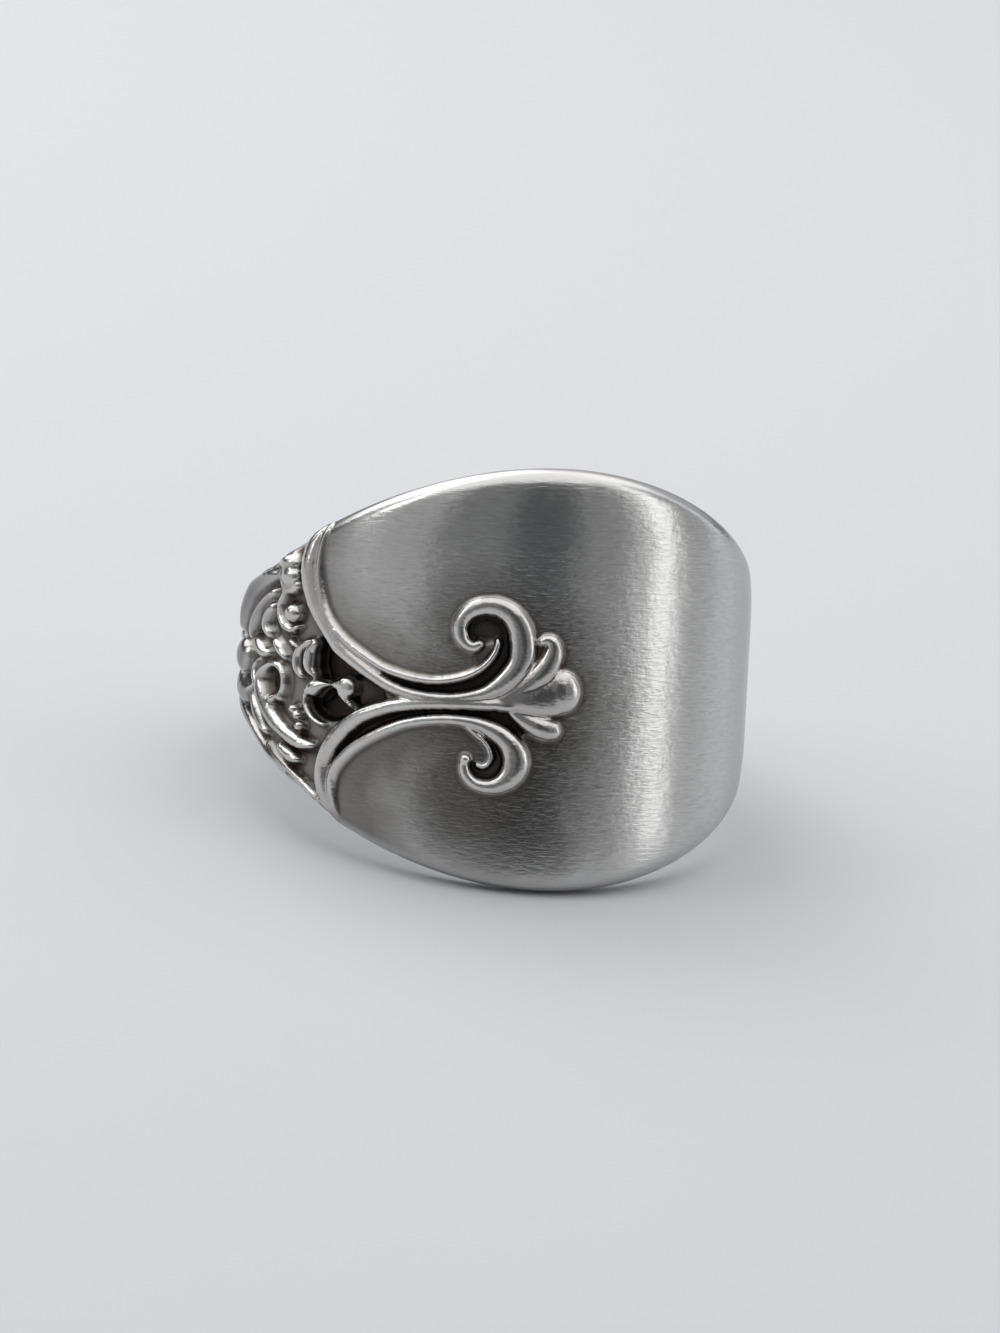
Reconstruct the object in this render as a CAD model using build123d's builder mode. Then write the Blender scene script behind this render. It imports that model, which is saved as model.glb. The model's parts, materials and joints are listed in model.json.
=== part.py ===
from build123d import *
from math import asin, atan2, cos, degrees, pi, radians, sin
import os

# Driving dimensions, in millimetres and degrees
bore_diameter = 19.0          # the finger hole
wall_thickness = 1.5
front_width = 18.0            # along the finger, at the middle of the plain panel
back_width = 5.4              # of the shank, either side of the gap
taper_angle = 120.0           # from the middle of the panel to where the shank stops narrowing
taper_fullness = 0.92         # below 1 keeps the shoulders broad
rim_rounding = 0.45
gap_width = 2.0               # between the two ends, behind the finger
end_rounding = 2.1            # corners of the two ends, seen from behind
outline_sections = 16         # of the loft that gives the ring its tapering outline
scroll_width = 1.1            # of the thickest scroll, where the table below says 1
scroll_height = 0.55          # of its crest above the panel
ridge_shoulder = 0.6          # height of a ridge's lower step, as a share of its crest
crest_share = 0.58            # width of the crest, as a share of the ridge
bead_radius = 0.5             # where the bead table says 1
bead_sink = 0.2               # share of its radius that a bead's centre is below the surface
relief_root = 0.3             # how far the relief is sunk into the wall

bore_radius = bore_diameter / 2
outer_radius = bore_radius + wall_thickness
blank_length = 2 * front_width       # of the tube that the ring is cut from

# Ridges of the ornament. Angle is measured round the ring from the middle of the panel, up is a
# share of the half width there, and width and height are shares of scroll_width and scroll_height.
upper_scroll = [
    # angle, up, width
    (-62.0, 0.88, 0.40),
    (-64.0, 0.64, 0.48),
    (-57.5, 0.25, 0.56),
    (-47.0, 0.02, 0.60),
    (-35.0, -0.09, 0.60),
    (-20.5, -0.07, 0.70),
    (-11.0, 0.07, 0.95),
    (-9.0, 0.24, 1.00),
    (-14.5, 0.36, 0.90),
    (-21.5, 0.31, 0.78),
    (-22.2, 0.20, 0.66),
    (-18.0, 0.14, 0.55),
]
upper_line = [
    # angle, up, width
    (-50.0, 0.15, 0.26),
    (-37.0, 0.02, 0.30),
    (-25.5, -0.01, 0.30),
    (-18.5, 0.04, 0.24),
]
lower_stem = [
    # angle, up, width
    (-51.5, -0.88, 0.40),
    (-56.0, -0.68, 0.48),
    (-52.5, -0.42, 0.52),
    (-41.0, -0.21, 0.54),
    (-26.5, -0.13, 0.60),
    (-8.0, -0.13, 0.70),
]
lower_scroll = [
    # angle, up, width
    (-51.0, -0.76, 0.34),
    (-48.0, -0.50, 0.40),
    (-36.5, -0.28, 0.48),
    (-21.0, -0.21, 0.60),
    (-10.0, -0.28, 0.90),
    (-8.2, -0.42, 1.00),
    (-14.0, -0.52, 0.84),
    (-19.8, -0.47, 0.70),
    (-19.5, -0.41, 0.60),
]
flower_bud = [
    # angle, up, width
    (-13.0, -0.09, 0.70),
    (-6.0, -0.04, 1.50),
    (0.0, -0.04, 2.00),
    (5.0, -0.03, 0.30),
]
upper_petal = [
    # angle, up, width
    (-3.0, 0.05, 0.70),
    (0.8, 0.14, 0.80),
    (-2.2, 0.22, 0.66),
    (-4.2, 0.18, 0.50),
]
lower_petal = [
    # angle, up, width
    (-7.0, -0.19, 0.70),
    (-1.0, -0.21, 0.90),
    (-3.6, -0.27, 0.60),
]
bow_crescent = [
    # angle, up, width
    (-56.5, 0.18, 0.36),
    (-60.5, 0.14, 0.50),
    (-63.0, 0.05, 0.56),
    (-62.5, -0.04, 0.50),
    (-59.5, -0.10, 0.40),
]
bow_leaf = [
    # angle, up, width
    (-55.5, -0.13, 0.60),
    (-52.0, -0.11, 0.40),
    (-47.5, -0.11, 0.95),
    (-43.5, -0.12, 0.50),
]
bow_hook = [
    # angle, up, width
    (-59.0, -0.22, 0.44),
    (-58.0, -0.33, 0.50),
    (-52.5, -0.39, 0.44),
]
neck_bud = [
    # angle, up, width
    (-65.0, 0.88, 0.50),
    (-69.5, 0.84, 0.80),
    (-74.0, 0.78, 0.60),
]
neck_leaf = [
    # angle, up, width
    (-76.0, 0.76, 0.70),
    (-85.5, 0.76, 1.00),
    (-95.0, 0.64, 1.00),
    (-103.0, 0.38, 0.90),
    (-108.0, 0.10, 0.60),
]
bud_hook = [
    # angle, up, width
    (-70.5, 0.58, 0.50),
    (-73.0, 0.47, 0.60),
    (-72.5, 0.35, 0.60),
    (-68.0, 0.24, 0.44),
]
inner_leaf = [
    # angle, up, width
    (-81.5, 0.58, 0.50),
    (-80.0, 0.46, 0.70),
    (-77.0, 0.35, 0.70),
    (-72.5, 0.22, 0.44),
]
low_leaf = [
    # angle, up, width
    (-87.5, 0.34, 0.50),
    (-84.0, 0.22, 0.70),
    (-80.5, 0.13, 0.64),
    (-75.5, 0.09, 0.40),
]
neck_wave = [
    # angle, up, width
    (-73.5, -0.02, 0.44),
    (-79.0, -0.10, 0.54),
    (-79.5, -0.25, 0.60),
    (-77.0, -0.39, 0.60),
    (-73.0, -0.49, 0.64),
    (-68.0, -0.56, 0.70),
    (-62.5, -0.58, 0.60),
    (-57.5, -0.58, 0.40),
]
neck_eye = [
    # angle, up, width
    (-71.5, -0.03, 0.44),
    (-68.3, -0.11, 0.44),
    (-68.0, -0.24, 0.44),
    (-71.5, -0.32, 0.50),
]
long_bead = [
    # angle, up, width
    (-71.0, -0.67, 0.50),
    (-66.0, -0.70, 0.80),
    (-61.5, -0.71, 0.50),
]
lower_edge_bead = [
    # angle, up, width
    (-110.0, -0.10, 0.50),
    (-102.5, -0.46, 0.60),
    (-93.0, -0.64, 0.60),
    (-84.0, -0.72, 0.60),
    (-75.0, -0.80, 0.50),
    (-65.0, -0.86, 0.44),
    (-56.0, -0.89, 0.40),
]
ridges = [
    # rows, height
    (upper_scroll, 1.00),
    (upper_line, 0.60),
    (lower_stem, 0.90),
    (lower_scroll, 1.00),
    (flower_bud, 1.00),
    (upper_petal, 0.90),
    (lower_petal, 0.85),
    (bow_crescent, 0.85),
    (bow_leaf, 0.90),
    (bow_hook, 0.75),
    (neck_bud, 0.90),
    (neck_leaf, 1.00),
    (bud_hook, 0.80),
    (inner_leaf, 0.85),
    (low_leaf, 0.85),
    (neck_wave, 0.95),
    (neck_eye, 0.75),
    (long_bead, 0.85),
    (lower_edge_bead, 0.70),
]
beads = [
    # angle, up, radius
    (-68.7, 0.66, 0.85),
    (-67.2, 0.38, 0.85),
    (-90.0, 0.50, 0.80),
    (-99.5, 0.10, 1.25),
    (-92.0, 0.00, 0.75),
    (-90.0, -0.36, 0.75),
    (-58.2, 0.04, 0.75),
    (-56.4, -0.16, 0.80),
    (-64.2, -0.36, 0.60),
    (-62.2, -0.46, 0.50),
    (-79.0, -0.56, 0.60),
    (-113.0, -0.02, 1.00),
]


def half_width(angle):
    """Half the width of the ring at an angle from the middle of the panel."""
    turn = min(abs(angle), taper_angle) / taper_angle
    share = ((1 + cos(pi * turn)) / 2) ** taper_fullness
    return (back_width + (front_width - back_width) * share) / 2


def outward(angle):
    """The direction that the outside of the ring faces at an angle from the middle of the panel."""
    return Vector(0, -1, 0).rotate(Axis.Z, angle)


def side_points(rows, width_share, middle):
    """The two sides of a ridge, laid out on the plane that faces its middle angle."""
    path = [
        Vector(outer_radius * sin(radians(angle - middle)), up * half_width(angle))
        for angle, up, width in rows
    ]
    left, right = [], []
    for i, (angle, up, width) in enumerate(rows):
        along = (path[min(i + 1, len(path) - 1)] - path[max(i - 1, 0)]).normalized()
        side = Vector(-along.Y, along.X) * (width * width_share * scroll_width / 2)
        left.append(path[i] + side)
        right.append(path[i] - side)
    return left, right


def ridge_step(rows, width_share, height):
    """One step of a ridge: its outline, cut from a shell that stands on the outside of the ring."""
    angles = [angle for angle, up, width in rows]
    middle = (min(angles) + max(angles)) / 2
    facing = Plane(origin=(0, 0, 0), x_dir=outward(middle + 90), z_dir=outward(middle))
    left, right = side_points(rows, width_share, middle)
    with BuildPart() as step:
        with BuildSketch(facing):
            with BuildLine():
                Spline(*left)
                Line(left[-1], right[-1])
                Spline(*reversed(right))
                Line(right[0], left[0])
            make_face()
        extrude(amount=outer_radius + wall_thickness)
        with BuildSketch(Plane.XY.offset(-blank_length / 2)):
            Circle(outer_radius + height)
            Circle(outer_radius - relief_root, mode=Mode.SUBTRACT)
        extrude(amount=blank_length, mode=Mode.INTERSECT)
    return step.part


def support_slope():
    """The slope of the line under the lower edge, from the front of the ring to its two ends."""
    inner, outer = bore_radius + rim_rounding, outer_radius - rim_rounding
    front = Vector(0, -inner, rim_rounding - half_width(0))
    last = round(180 - degrees(asin((gap_width / 2 + end_rounding) / outer)))
    lower_edge = [
        Vector(0, -radius * cos(radians(angle)), rim_rounding - half_width(angle))
        for radius in (inner, outer)
        for angle in range(1, last + 1)
    ]
    return min((point.Z - front.Z) / (point.Y - front.Y) for point in lower_edge if point.Y > front.Y)


# The tapering outline of the ring, as a band of upright sections wider than the wall
with BuildPart() as outline:
    for section in range(-outline_sections, outline_sections + 1):
        angle = taper_angle * section / outline_sections
        across_wall = Plane(origin=(0, 0, 0), x_dir=outward(angle), z_dir=outward(angle - 90))
        with BuildSketch(across_wall):
            with Locations((bore_radius + wall_thickness / 2, 0)):
                Rectangle(3 * wall_thickness, 2 * half_width(angle))
    loft()

# The raised ornament: each ridge a wide low step under a narrow crest, and the beads
relief = []
for rows, share in ridges:
    crest = share * scroll_height
    relief.append(ridge_step(rows, 1, ridge_shoulder * crest))
    relief.append(ridge_step(rows, crest_share, crest))
for angle, up, size in beads:
    radius = size * bead_radius
    centre = outward(angle) * (outer_radius - bead_sink * radius)
    relief.append(Pos(centre.X, centre.Y, up * half_width(angle)) * Sphere(radius))

with BuildPart() as ring_band:
    # Tapering front, cut from a tube
    with BuildSketch(Plane.XY.offset(-blank_length / 2)):
        Circle(outer_radius)
        Circle(bore_radius, mode=Mode.SUBTRACT)
    extrude(amount=blank_length)
    add(outline.part, mode=Mode.INTERSECT)
    # Plain shank, all round
    with BuildSketch(Plane.XY.offset(-back_width / 2)):
        Circle(outer_radius)
        Circle(bore_radius, mode=Mode.SUBTRACT)
    extrude(amount=back_width)
    # Gap behind the finger, between two rounded ends
    with BuildSketch(Plane.XZ):
        Rectangle(gap_width + 2 * end_rounding, 2 * back_width)
        with Locations((outer_radius + gap_width / 2, 0), (-outer_radius - gap_width / 2, 0)):
            RectangleRounded(2 * outer_radius, back_width, end_rounding, mode=Mode.SUBTRACT)
    extrude(amount=-2 * outer_radius, mode=Mode.SUBTRACT)
    fillet(ring_band.edges(), rim_rounding)
    add(relief)

# The ring lies on its side: on the front of its lower edge and on its two ends
pitch = degrees(atan2(support_slope(), 1))
lying = ring_band.part.rotate(Axis.X, -pitch)
box = lying.bounding_box()
bore_middle = Vector(-box.center().X, -box.center().Y, -box.min.Z)
lying = lying.move(Location(bore_middle))
lying.label = "ring_band"

os.makedirs("parts", exist_ok=True)
export_step(lying, "parts/ring_band.step")
print("leans back by", pitch, "degrees; middle of the bore at", tuple(bore_middle))
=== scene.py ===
"""A silver ring bent from a spoon: a plain brushed panel, cast scrolls and a narrow ornate neck."""
import json
from math import asin, atan2, cos, degrees, pi, radians, sin, tan

import bpy
import numpy as np
from mathutils import Matrix, Vector


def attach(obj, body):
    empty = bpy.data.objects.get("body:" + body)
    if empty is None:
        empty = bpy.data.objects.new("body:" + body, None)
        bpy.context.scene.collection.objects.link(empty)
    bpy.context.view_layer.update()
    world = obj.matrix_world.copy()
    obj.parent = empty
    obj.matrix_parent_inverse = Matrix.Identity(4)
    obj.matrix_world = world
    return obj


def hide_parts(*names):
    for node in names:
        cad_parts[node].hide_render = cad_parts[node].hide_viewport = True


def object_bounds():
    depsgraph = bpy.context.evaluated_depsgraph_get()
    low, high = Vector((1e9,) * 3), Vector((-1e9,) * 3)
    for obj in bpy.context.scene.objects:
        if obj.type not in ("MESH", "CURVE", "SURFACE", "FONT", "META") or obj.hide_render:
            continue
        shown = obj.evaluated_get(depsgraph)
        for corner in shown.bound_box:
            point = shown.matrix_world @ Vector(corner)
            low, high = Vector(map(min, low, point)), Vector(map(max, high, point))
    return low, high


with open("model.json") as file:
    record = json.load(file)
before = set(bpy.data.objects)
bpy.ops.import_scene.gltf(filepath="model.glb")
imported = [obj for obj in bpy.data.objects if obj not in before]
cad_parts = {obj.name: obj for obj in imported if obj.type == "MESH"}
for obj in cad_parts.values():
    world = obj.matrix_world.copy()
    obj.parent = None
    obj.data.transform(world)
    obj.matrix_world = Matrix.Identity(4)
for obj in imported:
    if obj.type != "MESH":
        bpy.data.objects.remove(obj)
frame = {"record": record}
cad_low, cad_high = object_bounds()

# Sizes of the ring in millimetres and degrees, read from the frame where it gives them
mm = 0.001
finger_hole = next(m for m in frame["record"]["mounts"] if m["name"] == "finger_hole")
bore_middle = Vector(finger_hole["pos_m"])
bore_axis = Vector(finger_hole["axis"])
bore_radius = finger_hole["dims"]["r_mm"]
outer_radius = (cad_high.x - bore_middle.x) / mm
wall = outer_radius - bore_radius
lean = atan2(bore_axis.y, bore_axis.z)
rim_rounding = 0.75
bore_rounding = 0.45
shoulder = 1.6
shoulder_drop = 0.10
rim_start = atan2(2 * shoulder_drop, shoulder)
rim_inset = rim_rounding * (1 - sin(rim_start))
rim_centre = -shoulder_drop - rim_rounding * cos(rim_start)
front_width = finger_hole["dims"]["length_mm"] + 2 * bore_rounding
back_width = 5.4
taper_angle = 120.0
taper_fullness = 0.92
gap_width = 2.0
end_rounding = 2.1
mm_per_degree = outer_radius * pi / 180
last_angle = 180 - degrees(asin((gap_width / 2 + rim_inset) / outer_radius))
end_place = last_angle * mm_per_degree
corner_centre = end_place - (end_rounding - rim_inset)

# Relief, in millimetres and degrees, with the foot groove as a share of the hollow round a form
neck_sink = 0.16
mouth_sink = neck_sink * 0.5
groove_sink = 0.26
curl_sink = groove_sink * 0.7
cavity_sink = 0.6
neck_fade = 2.0
neck_start = -66.0
foot_groove = 0.3
rows_to_full_height = 3

# The cast ornament, laid out on the flat blank. Angle is measured round the ring from the middle of
# the panel, up is a share of the half width there, and width is in millimetres.
upper_scroll = [
    # angle, up, width
    (-58.6, 1.00, 0.40),
    (-60.3, 0.94, 0.62),
    (-61.5, 0.85, 0.94),
    (-61.7, 0.71, 1.10),
    (-60.6, 0.56, 1.10),
    (-58.6, 0.42, 1.02),
    (-56.1, 0.305, 0.92),
    (-53.7, 0.215, 0.82),
    (-51.3, 0.135, 0.84),
    (-48.5, 0.078, 0.76),
    (-45.3, 0.024, 0.70),
    (-41.8, -0.028, 0.64),
    (-38.1, -0.073, 0.60),
    (-33.9, -0.102, 0.56),
    (-29.3, -0.114, 0.54),
    (-24.2, -0.112, 0.52),
    (-19.5, -0.095, 0.56),
    (-15.9, -0.071, 0.68),
    (-13.0, -0.034, 0.88),
    (-10.8, 0.006, 1.06),
    (-9.1, 0.057, 1.08),
    (-8.2, 0.114, 1.16),
    (-8.2, 0.177, 1.18),
    (-8.9, 0.240, 1.14),
    (-10.6, 0.298, 1.05),
    (-13.2, 0.338, 0.96),
    (-16.2, 0.351, 0.90),
    (-19.2, 0.338, 0.82),
    (-21.3, 0.300, 0.74),
    (-22.2, 0.251, 0.70),
    (-21.8, 0.197, 0.66),
    (-20.4, 0.160, 0.60),
    (-18.8, 0.150, 0.54),
    (-17.8, 0.164, 0.46),
]
upper_line = [
    # angle, up, width
    (-57.2, 0.98, 0.22),
    (-58.4, 0.86, 0.30),
    (-58.7, 0.74, 0.36),
    (-58.2, 0.60, 0.38),
    (-57.0, 0.47, 0.40),
    (-55.8, 0.385, 0.40),
    (-54.4, 0.315, 0.40),
    (-52.9, 0.262, 0.40),
    (-51.0, 0.210, 0.41),
    (-48.1, 0.149, 0.42),
    (-44.3, 0.087, 0.44),
    (-40.0, 0.028, 0.44),
    (-35.9, -0.003, 0.44),
    (-31.2, -0.023, 0.44),
    (-26.7, -0.026, 0.42),
    (-22.3, -0.008, 0.42),
    (-18.7, 0.024, 0.40),
    (-15.9, 0.072, 0.37),
    (-14.3, 0.124, 0.33),
    (-13.7, 0.163, 0.28),
    (-13.9, 0.190, 0.20),
]
lower_stem = [
    # angle, up, width
    (-49.6, -0.98, 0.38),
    (-51.8, -0.91, 0.52),
    (-53.6, -0.85, 0.70),
    (-54.6, -0.754, 0.82),
    (-54.4, -0.639, 0.86),
    (-52.9, -0.523, 0.86),
    (-50.5, -0.423, 0.84),
    (-47.8, -0.340, 0.81),
    (-44.6, -0.272, 0.77),
    (-41.6, -0.232, 0.72),
    (-38.3, -0.197, 0.68),
    (-34.3, -0.169, 0.64),
    (-29.4, -0.149, 0.60),
    (-24.2, -0.138, 0.58),
    (-18.7, -0.130, 0.58),
    (-14.0, -0.126, 0.60),
    (-10.1, -0.125, 0.60),
    (-6.0, -0.105, 0.44),
    (-3.0, -0.085, 0.24),
]
lower_scroll = [
    # angle, up, width
    (-49.0, -0.98, 0.20),
    (-50.4, -0.91, 0.40),
    (-51.4, -0.838, 0.48),
    (-51.7, -0.741, 0.54),
    (-50.9, -0.645, 0.58),
    (-49.0, -0.560, 0.60),
    (-46.0, -0.468, 0.58),
    (-42.5, -0.395, 0.56),
    (-38.8, -0.332, 0.54),
    (-34.5, -0.277, 0.53),
    (-29.9, -0.241, 0.52),
    (-24.8, -0.219, 0.53),
    (-20.4, -0.216, 0.58),
    (-16.7, -0.228, 0.68),
    (-13.6, -0.254, 0.86),
    (-11.1, -0.286, 0.94),
    (-9.2, -0.332, 1.12),
    (-8.4, -0.382, 1.22),
    (-8.8, -0.434, 1.18),
    (-10.3, -0.481, 1.00),
    (-12.6, -0.513, 0.78),
    (-15.1, -0.523, 0.66),
    (-17.5, -0.512, 0.60),
    (-19.1, -0.482, 0.56),
    (-19.8, -0.443, 0.52),
    (-19.6, -0.407, 0.50),
]
lower_line = [
    # angle, up, width
    (-20.0, -0.236, 0.24),
    (-18.4, -0.260, 0.26),
    (-17.0, -0.282, 0.27),
    (-15.7, -0.306, 0.27),
    (-14.5, -0.340, 0.26),
    (-14.0, -0.378, 0.26),
    (-14.6, -0.412, 0.25),
    (-15.8, -0.430, 0.23),
    (-17.0, -0.422, 0.18),
]
middle_petal = [
    # angle, up, width
    (-16.5, -0.118, 0.50),
    (-13.5, -0.113, 0.66),
    (-11.0, -0.105, 0.86),
    (-8.5, -0.097, 1.16),
    (-6.3, -0.092, 1.44),
    (-4.2, -0.085, 1.66),
    (-2.2, -0.076, 1.76),
    (-0.4, -0.068, 1.72),
    (1.0, -0.060, 1.50),
    (2.2, -0.053, 1.18),
    (3.0, -0.048, 0.80),
]
upper_petal = [
    # angle, up, width
    (-12.7, -0.100, 0.50),
    (-9.8, -0.068, 0.72),
    (-7.0, -0.030, 0.92),
    (-4.8, 0.010, 1.04),
    (-3.0, 0.052, 1.06),
    (-1.8, 0.098, 0.98),
    (-1.3, 0.140, 0.88),
    (-1.6, 0.176, 0.74),
    (-2.8, 0.194, 0.58),
    (-4.0, 0.186, 0.42),
]
lower_petal = [
    # angle, up, width
    (-10.6, -0.138, 0.40),
    (-8.6, -0.166, 0.62),
    (-6.4, -0.194, 0.82),
    (-4.2, -0.215, 0.96),
    (-2.2, -0.228, 1.00),
    (-0.8, -0.232, 0.88),
]
bow_crescent = [
    # angle, up, width
    (-58.8, 0.175, 0.22),
    (-61.5, 0.152, 0.34),
    (-63.7, 0.100, 0.46),
    (-64.4, 0.029, 0.50),
    (-63.9, -0.040, 0.46),
    (-62.4, -0.090, 0.28),
]
bow_lobe = [
    # angle, up, width
    (-58.6, 0.150, 0.36),
    (-60.0, 0.093, 0.62),
    (-60.2, 0.026, 0.72),
    (-59.6, -0.027, 0.58),
    (-58.2, -0.068, 0.28),
]
bow_bud = [
    # angle, up, width
    (-59.8, -0.182, 0.50),
    (-58.4, -0.162, 0.82),
    (-56.7, -0.138, 0.70),
    (-55.1, -0.122, 0.38),
    (-53.7, -0.116, 0.16),
]
bow_leaf = [
    # angle, up, width
    (-53.7, -0.116, 0.16),
    (-52.2, -0.113, 0.38),
    (-50.6, -0.113, 0.68),
    (-49.0, -0.118, 1.00),
]
bow_fork = [
    # angle, up, width
    (-50.5, -0.165, 0.24),
    (-48.6, -0.200, 0.24),
    (-46.9, -0.232, 0.18),
]
bow_hook = [
    # angle, up, width
    (-60.4, -0.165, 0.24),
    (-60.9, -0.215, 0.24),
    (-60.9, -0.270, 0.26),
    (-59.8, -0.328, 0.26),
    (-57.5, -0.373, 0.24),
    (-54.7, -0.389, 0.20),
]
neck_bud = [
    # angle, up, width
    (-66.0, 0.600, 0.50),
    (-67.8, 0.570, 0.40),
    (-70.6, 0.600, 0.36),
    (-72.2, 0.680, 0.36),
    (-72.6, 0.770, 0.30),
]
neck_leaf = [
    # angle, up, width
    (-74.2, 0.750, 0.50),
    (-78.0, 0.775, 0.78),
    (-82.6, 0.785, 0.94),
    (-87.2, 0.755, 1.06),
    (-91.6, 0.660, 1.12),
    (-95.4, 0.520, 1.08),
    (-98.0, 0.380, 0.76),
]
leaf_fold = [
    # angle, up, width
    (-75.2, 0.610, 0.42),
    (-78.4, 0.565, 0.60),
    (-81.4, 0.500, 0.72),
    (-84.4, 0.410, 0.76),
    (-87.0, 0.300, 0.62),
    (-88.4, 0.210, 0.34),
]
crescent = [
    # angle, up, width
    (-70.6, 0.565, 0.38),
    (-71.9, 0.486, 0.52),
    (-71.4, 0.379, 0.56),
    (-69.5, 0.290, 0.48),
    (-66.8, 0.258, 0.34),
    (-65.0, 0.277, 0.22),
]
inner_leaf = [
    # angle, up, width
    (-75.6, 0.480, 0.48),
    (-77.6, 0.405, 0.72),
    (-78.0, 0.320, 0.78),
    (-76.4, 0.240, 0.54),
]
low_leaf = [
    # angle, up, width
    (-84.8, 0.190, 0.50),
    (-82.4, 0.125, 0.78),
    (-79.4, 0.070, 0.66),
    (-76.8, 0.060, 0.36),
]
small_leaf = [
    # angle, up, width
    (-73.9, 0.165, 0.48),
    (-71.3, 0.096, 0.60),
    (-69.2, 0.040, 0.38),
]
sliver = [
    # angle, up, width
    (-68.6, 0.186, 0.20),
    (-66.7, 0.158, 0.32),
    (-65.0, 0.129, 0.20),
]
eye_ring = [
    # angle, up, width
    (-77.8, -0.090, 0.46),
    (-75.4, -0.040, 0.40),
    (-72.6, -0.032, 0.38),
    (-70.2, -0.075, 0.38),
    (-69.2, -0.160, 0.38),
    (-69.9, -0.245, 0.36),
    (-71.9, -0.305, 0.36),
    (-74.4, -0.340, 0.34),
]
neck_wave = [
    # angle, up, width
    (-77.6, -0.080, 0.52),
    (-79.6, -0.150, 0.80),
    (-79.9, -0.250, 0.94),
    (-77.9, -0.360, 0.94),
    (-74.6, -0.457, 0.86),
    (-70.8, -0.523, 0.78),
    (-66.7, -0.557, 0.70),
    (-63.0, -0.572, 0.66),
    (-60.2, -0.568, 0.52),
    (-58.1, -0.556, 0.34),
]
long_bead = [
    # angle, up, width
    (-70.2, -0.690, 0.34),
    (-67.6, -0.702, 0.58),
    (-65.0, -0.708, 0.60),
    (-62.6, -0.706, 0.34),
]
back_leaf = [
    # angle, up, width
    (-85.0, -0.420, 0.46),
    (-82.8, -0.505, 0.70),
    (-79.4, -0.590, 0.66),
    (-76.0, -0.650, 0.38),
]
wave_leaf = [
    # angle, up, width
    (-84.0, -0.030, 0.30),
    (-85.2, -0.110, 0.46),
    (-84.8, -0.200, 0.52),
    (-83.2, -0.290, 0.34),
]
lower_edge = [
    # angle, up, width
    (-113.0, -0.10, 0.34),
    (-109.5, -0.34, 0.50),
    (-104.5, -0.52, 0.60),
    (-97.5, -0.63, 0.62),
    (-90.5, -0.68, 0.60),
    (-84.8, -0.71, 0.58),
    (-79.6, -0.765, 0.52),
    (-75.2, -0.825, 0.46),
    (-70.2, -0.862, 0.40),
    (-64.7, -0.872, 0.36),
    (-59.7, -0.882, 0.32),
    (-55.6, -0.905, 0.26),
    (-52.4, -0.935, 0.18),
]
edge_line = [
    # angle, up, width
    (-75.6, -0.735, 0.22),
    (-72.6, -0.785, 0.26),
    (-68.6, -0.812, 0.26),
    (-64.2, -0.830, 0.24),
    (-59.7, -0.852, 0.22),
    (-56.4, -0.872, 0.18),
]
under_leaf = [
    # angle, up, width
    (-85.0, -0.300, 0.44),
    (-88.5, -0.420, 0.84),
    (-93.5, -0.440, 1.04),
    (-98.0, -0.380, 0.90),
    (-101.0, -0.260, 0.54),
]
upper_edge = [
    # angle, up, width
    (-88.0, 0.86, 0.30),
    (-94.0, 0.80, 0.46),
    (-100.0, 0.70, 0.52),
    (-105.5, 0.54, 0.52),
    (-110.0, 0.32, 0.46),
    (-113.0, 0.10, 0.34),
]
end_petal_upper = [
    # angle, up, width
    (-99.5, 0.20, 0.40),
    (-103.0, 0.28, 0.62),
    (-106.8, 0.20, 0.56),
    (-109.0, 0.07, 0.34),
]
end_petal_lower = [
    # angle, up, width
    (-101.5, -0.14, 0.36),
    (-104.6, -0.25, 0.56),
    (-107.8, -0.18, 0.50),
    (-109.6, -0.06, 0.34),
]
end_bud = [
    # angle, up, width
    (-105.0, 0.0, 0.40),
    (-108.5, 0.0, 0.66),
    (-111.8, 0.0, 0.50),
    (-114.0, 0.0, 0.24),
]
strands = [
    # rows, rise, share of the rise where the strand starts, power of the flanks
    (upper_scroll, 0.54, 0.25, 1.2),
    (upper_line, 0.60, 0.4, 1.4),
    (lower_stem, 0.54, 0.25, 1.2),
    (lower_scroll, 0.54, 0.25, 1.2),
    (lower_line, 0.66, 1.0, 1.4),
    (middle_petal, 0.44, 0.8, 0.8),
    (upper_petal, 0.60, 0.7, 1.0),
    (lower_petal, 0.56, 0.5, 1.0),
    (bow_crescent, 0.66, 0.8, 1.4),
    (bow_lobe, 0.62, 0.8, 1.2),
    (bow_bud, 0.66, 1.0, 1.2),
    (bow_leaf, 0.44, 0.8, 0.9),
    (bow_fork, 0.66, 1.0, 1.4),
    (bow_hook, 0.66, 1.0, 1.4),
    (neck_bud, 0.62, 0.8, 1.4),
    (neck_leaf, 0.66, 0.7, 1.4),
    (leaf_fold, 0.66, 0.8, 1.4),
    (crescent, 0.66, 0.8, 1.4),
    (inner_leaf, 0.66, 0.8, 1.4),
    (low_leaf, 0.66, 0.8, 1.4),
    (small_leaf, 0.60, 0.8, 1.4),
    (sliver, 0.56, 1.0, 1.4),
    (eye_ring, 0.66, 1.0, 1.4),
    (neck_wave, 0.70, 0.8, 1.3),
    (long_bead, 0.68, 0.8, 1.3),
    (back_leaf, 0.62, 0.8, 1.4),
    (wave_leaf, 0.60, 0.8, 1.4),
    (lower_edge, 0.54, 0.8, 1.4),
    (edge_line, 0.54, 0.8, 1.4),
    (under_leaf, 0.62, 0.8, 1.4),
    (upper_edge, 0.54, 0.6, 1.4),
    (end_petal_upper, 0.62, 0.8, 1.4),
    (end_petal_lower, 0.62, 0.8, 1.4),
    (end_bud, 0.66, 0.8, 1.4),
]
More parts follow.
